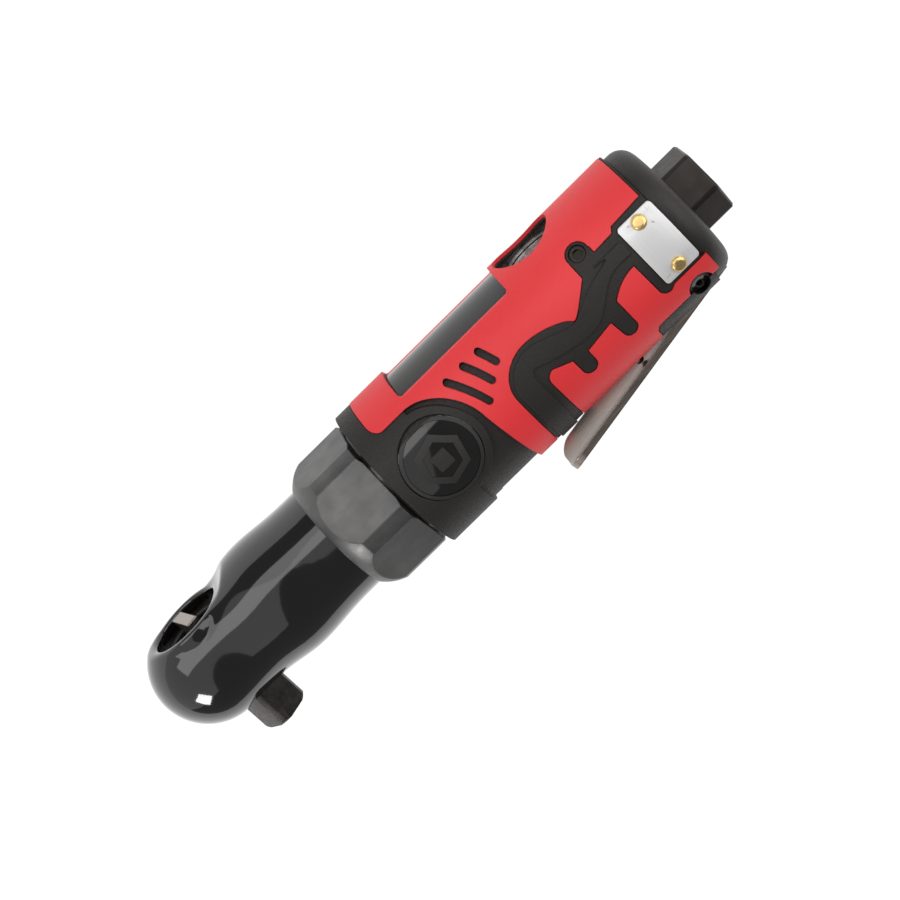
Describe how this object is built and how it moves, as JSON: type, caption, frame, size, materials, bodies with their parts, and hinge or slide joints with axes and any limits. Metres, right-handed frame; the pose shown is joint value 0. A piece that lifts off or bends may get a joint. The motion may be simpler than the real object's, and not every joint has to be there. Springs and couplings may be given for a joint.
{
  "type": "air ratchet",
  "caption": "Straight compact pneumatic ratchet wrench with round head, square drive, clamp nut, two-colour grip, lever throttle and threaded inlet.",
  "frame": {"origin": "where the square drive's axis crosses the tool's own axis", "axes": "+X along the tool from the ratchet head to the air inlet; -Y along the square drive; +Z towards the side with the name plate"},
  "size_m": [0.1732, 0.0478, 0.0404],
  "materials": {
    "black_steel": "gloss black enamel over forged steel",
    "nut_steel": "black oxide, machined",
    "drive_steel": "black phosphate",
    "housing_metal": "dark hard anodised",
    "grip_black": "fine matt texture",
    "cover_red": "satin moulded",
    "badge_black": "gloss",
    "plate_metal": "satin",
    "brass": "polished",
    "lever_steel": "nickel plated",
    "bright_steel": "ground",
    "gear_steel": "hardened, oiled",
    "bronze": "sintered",
    "aluminium_part": "machined",
    "vane_plastic": "laminated phenolic",
    "seal_rubber": "nitrile",
    "cap_black": "fine matt texture",
    "inlet_steel": "black oxide",
    "felt": "pressed felt"
  },
  "bodies": {
    "tool": {"ratchet_head": "black_steel", "thrust_washer": "bright_steel", "anvil_washer": "bright_steel", "snap_ring": "nut_steel", "crank_bushing": "bronze", "needle_shell": "bright_steel", "ring_gear": "gear_steel", "motor_cylinder": "bright_steel", "front_end_plate": "aluminium_part", "rear_end_plate": "aluminium_part", "dowel_pin": "bright_steel", "front_bearing_outer": "bright_steel", "rear_bearing_outer": "bright_steel", "clamp_nut": "nut_steel", "motor_housing": "housing_metal", "grip_housing": "grip_black", "upper_cover": "cover_red", "lower_cover": "cover_red", "side_badges": "badge_black", "name_plate": "plate_metal", "plate_rivets": "brass", "cover_screws": "nut_steel", "valve_bush": "aluminium_part", "valve_spring": "bright_steel", "regulator_ring": "bright_steel", "lever_pin": "nut_steel", "inlet_bushing": "inlet_steel", "inlet_oring": "seal_rubber", "inlet_screen": "bright_steel", "rear_cap": "cap_black", "exhaust_silencer": "felt"},
    "rotor": {"rotor": "bright_steel", "vanes": "vane_plastic", "front_bearing_inner": "bright_steel", "rear_bearing_inner": "bright_steel"},
    "front_balls": {"front_bearing_balls": "bright_steel"},
    "rear_balls": {"rear_bearing_balls": "bright_steel"},
    "crankshaft": {"crankshaft": "gear_steel", "planet_pins": "bright_steel"},
    "planet_1": {"planet_gear_1": "gear_steel"},
    "planet_2": {"planet_gear_2": "gear_steel"},
    "planet_3": {"planet_gear_3": "gear_steel"},
    "needles": {"needle_rollers": "bright_steel"},
    "drive_bushing": {"drive_bushing": "bronze"},
    "yoke": {"yoke": "gear_steel"},
    "anvil": {"anvil": "drive_steel", "pawl_pin": "bright_steel", "detent_spring": "bright_steel"},
    "pawl": {"pawl": "gear_steel"},
    "selector": {"selector": "plate_metal", "selector_plunger": "bright_steel", "selector_spring": "bright_steel"},
    "detent_ball": {"detent_ball": "bright_steel"},
    "lever": {"lever": "lever_steel"},
    "valve": {"throttle_valve": "bright_steel", "valve_oring": "seal_rubber"},
    "regulator": {"regulator_dial": "aluminium_part"}
  },
  "joints": [
    {"name": "rotor_spin", "type": "hinge", "parent": "tool", "child": "rotor", "pos_m": [0.08, 0, 0], "axis": [1, 0, 0], "continuous": true},
    {"name": "front_ball_orbit", "type": "hinge", "parent": "tool", "child": "front_balls", "pos_m": [0.06, 0, 0], "axis": [1, 0, 0], "continuous": true},
    {"name": "rear_ball_orbit", "type": "hinge", "parent": "tool", "child": "rear_balls", "pos_m": [0.095, 0, 0], "axis": [1, 0, 0], "continuous": true},
    {"name": "crank_spin", "type": "hinge", "parent": "tool", "child": "crankshaft", "pos_m": [0.04, 0, 0], "axis": [1, 0, 0], "continuous": true},
    {"name": "needle_orbit", "type": "hinge", "parent": "tool", "child": "needles", "pos_m": [0.04, 0, 0], "axis": [1, 0, 0], "continuous": true},
    {"name": "planet_1_spin", "type": "hinge", "parent": "crankshaft", "child": "planet_1", "pos_m": [0, 0.0075, 0], "axis": [1, 0, 0], "continuous": true},
    {"name": "planet_2_spin", "type": "hinge", "parent": "crankshaft", "child": "planet_2", "pos_m": [0, -0.00375, 0.00649], "axis": [1, 0, 0], "continuous": true},
    {"name": "planet_3_spin", "type": "hinge", "parent": "crankshaft", "child": "planet_3", "pos_m": [0, -0.00375, -0.00649], "axis": [1, 0, 0], "continuous": true},
    {"name": "drive_bushing_spin", "type": "hinge", "parent": "crankshaft", "child": "drive_bushing", "pos_m": [0.018, 0, 0.0012], "axis": [1, 0, 0], "continuous": true},
    {"name": "yoke_swing", "type": "hinge", "parent": "tool", "child": "yoke", "pos_m": [0, 0, 0], "axis": [0, 1, 0], "range_deg": [-3.9, 3.9]},
    {"name": "anvil_spin", "type": "hinge", "parent": "tool", "child": "anvil", "pos_m": [0, 0, 0], "axis": [0, 1, 0], "continuous": true},
    {"name": "selector_turn", "type": "hinge", "parent": "anvil", "child": "selector", "pos_m": [0, 0, 0], "axis": [0, 1, 0], "range_deg": [-40, 0]},
    {"name": "pawl_rock", "type": "hinge", "parent": "anvil", "child": "pawl", "pos_m": [0.00399, 0, -0.00301], "axis": [0, 1, 0], "range_deg": [-8, 0]},
    {"name": "detent_ball_press", "type": "slide", "parent": "anvil", "child": "detent_ball", "axis": [-0.7986, 0, 0.6018], "range_m": [0, 0.0005], "stiffness_N_per_m": 400, "springref_m": -0.0004},
    {"name": "lever_squeeze", "type": "hinge", "parent": "tool", "child": "lever", "pos_m": [0.1372, -0.0135, 0], "axis": [0, 0, -1], "range_deg": [0, 5.5], "stiffness_Nm_per_rad": 1.2, "springref_deg": -14.32},
    {"name": "valve_lift", "type": "slide", "parent": "tool", "child": "valve", "axis": [0, 1, 0], "range_m": [0, 0.0022], "deforming": ["valve_spring"]},
    {"name": "regulator_turn", "type": "hinge", "parent": "tool", "child": "regulator", "pos_m": [0.115, 0, 0], "axis": [0, 1, 0], "range_deg": [0, 90]}
  ],
  "couplings": [
    {"joint": "front_ball_orbit", "follows": "rotor_spin", "ratio": 0.41379},
    {"joint": "rear_ball_orbit", "follows": "rotor_spin", "ratio": 0.40417},
    {"joint": "crank_spin", "follows": "rotor_spin", "ratio": 0.2},
    {"joint": "needle_orbit", "follows": "rotor_spin", "ratio": 0.08585},
    {"joint": "planet_1_spin", "follows": "rotor_spin", "ratio": -0.53333},
    {"joint": "planet_2_spin", "follows": "rotor_spin", "ratio": -0.53333},
    {"joint": "planet_3_spin", "follows": "rotor_spin", "ratio": -0.53333},
    {"joint": "drive_bushing_spin", "follows": "rotor_spin", "ratio": -0.2},
    {"joint": "pawl_rock", "follows": "selector_turn", "ratio": 0.2},
    {"joint": "valve_lift", "follows": "lever_squeeze", "m_per_rad": 0.0224}
  ]
}
